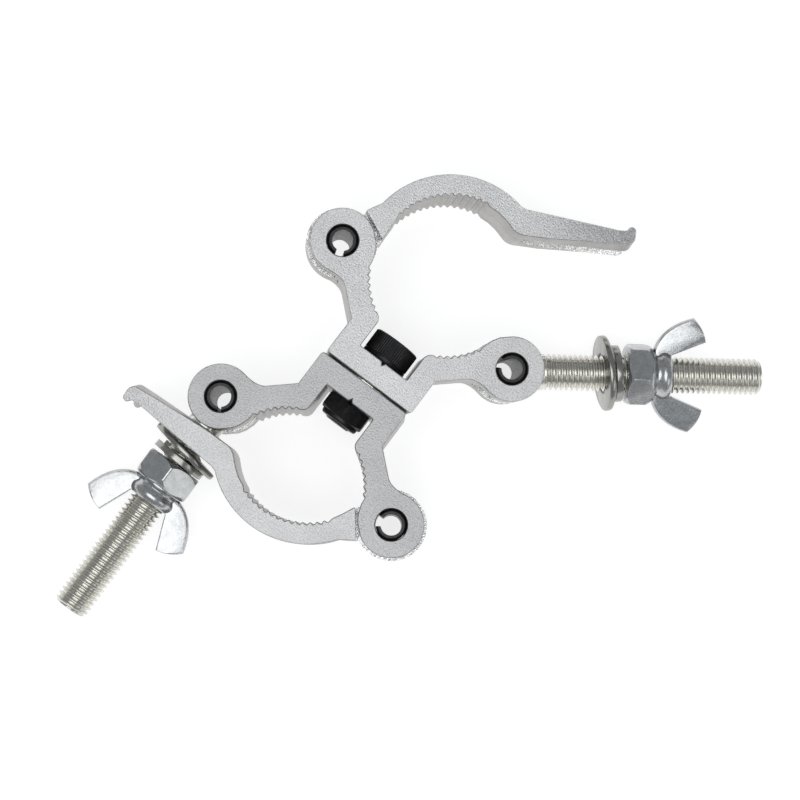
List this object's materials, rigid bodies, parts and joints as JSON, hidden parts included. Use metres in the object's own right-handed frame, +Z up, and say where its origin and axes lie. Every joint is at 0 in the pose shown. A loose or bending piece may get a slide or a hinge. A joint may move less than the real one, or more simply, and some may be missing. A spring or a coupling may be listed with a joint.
{
  "type": "swivel pipe clamp",
  "caption": "Double half coupler for round tubes: two toothed aluminium clamps back to back on a swivel bolt, each with a hinged jaw, swing bolt and wing nut.",
  "frame": {"origin": "middle of the lower half's web, on its underside face, with the clamp lying on its side; the swivel axis runs along Y 15 mm above it and the joint face is at Y = 4.1 mm", "axes": "+Z up along the extrusion and the hinge pins, +Y along the swivel bolt from the lower half to the upper half, +X from the lower half's bolt lug to its jaw lug"},
  "size_m": [0.1635, 0.2073, 0.0364],
  "materials": {
    "aluminium_body": "satin, finely brushed extrusion with sawn faces",
    "zinc_steel": "bright zinc plate",
    "black_steel": "oiled black oxide",
    "nylon": "plain nylon ring"
  },
  "bodies": {
    "lower_half": {"lower_body": "aluminium_body", "lower_jaw_pin": "black_steel", "lower_bolt_pin": "black_steel", "swivel_bolt": "black_steel", "swivel_lock_nut": "black_steel", "lock_nut_insert": "nylon", "swivel_shim_washer": "zinc_steel"},
    "lower_jaw_arm": {"lower_jaw": "aluminium_body"},
    "lower_bolt": {"lower_swing_bolt": "zinc_steel"},
    "lower_washers": {"lower_flat_washer": "zinc_steel", "lower_spring_washer": "zinc_steel"},
    "lower_nut": {"lower_wing_nut": "zinc_steel"},
    "upper_half": {"upper_body": "aluminium_body", "upper_jaw_pin": "black_steel", "upper_bolt_pin": "black_steel"},
    "upper_jaw_arm": {"upper_jaw": "aluminium_body"},
    "upper_bolt": {"upper_swing_bolt": "zinc_steel"},
    "upper_washers": {"upper_flat_washer": "zinc_steel", "upper_spring_washer": "zinc_steel"},
    "upper_nut": {"upper_wing_nut": "zinc_steel"}
  },
  "joints": [
    {"name": "swivel", "type": "hinge", "parent": "lower_half", "child": "upper_half", "pos_m": [0, 0.0041, 0.015], "axis": [0, 1, 0], "continuous": true},
    {"name": "lower_bolt_swing", "type": "hinge", "parent": "lower_half", "child": "lower_bolt", "pos_m": [-0.034, -0.02745, 0.015], "axis": [0, 0, 1], "range_deg": [-1.9, 1]},
    {"name": "lower_washer_travel", "type": "slide", "parent": "lower_bolt", "child": "lower_washers", "axis": [0.0105, -0.9999, 0], "range_m": [0, 0.0202]},
    {"name": "lower_nut_spin", "type": "hinge", "parent": "lower_washers", "child": "lower_nut", "pos_m": [-0.034, -0.02745, 0.015], "axis": [0.0105, -0.9999, 0], "range_deg": [0, 4140]},
    {"name": "lower_jaw_hinge", "type": "hinge", "parent": "lower_half", "child": "lower_jaw_arm", "pos_m": [0.034, -0.02745, 0.015], "axis": [0, 0, 1], "range_deg": [0, 13.1]},
    {"name": "upper_jaw_hinge", "type": "hinge", "parent": "upper_half", "child": "upper_jaw_arm", "pos_m": [-0.03392, 0.03565, 0.0174], "axis": [0.0705, 0, 0.9975], "range_deg": [-15.6, 144.4]},
    {"name": "upper_bolt_swing", "type": "hinge", "parent": "upper_half", "child": "upper_bolt", "pos_m": [0.03392, 0.03565, 0.0126], "axis": [0.0705, 0, 0.9975], "range_deg": [-40, 28]},
    {"name": "upper_washer_travel", "type": "slide", "parent": "upper_bolt", "child": "upper_washers", "axis": [0.809, 0.585, -0.0571], "range_m": [-0.0193, 0.0263]},
    {"name": "upper_nut_spin", "type": "hinge", "parent": "upper_washers", "child": "upper_nut", "pos_m": [0.03392, 0.03565, 0.0126], "axis": [0.809, 0.585, -0.0571], "range_deg": [-3960, 5400]}
  ],
  "couplings": [
    {"joint": "lower_washer_travel", "follows": "lower_nut_spin", "m_per_rad": 0.00027852},
    {"joint": "lower_jaw_hinge", "follows": "lower_nut_spin", "ratio": 0.00314},
    {"joint": "upper_washer_travel", "follows": "upper_nut_spin", "m_per_rad": 0.00027852}
  ]
}
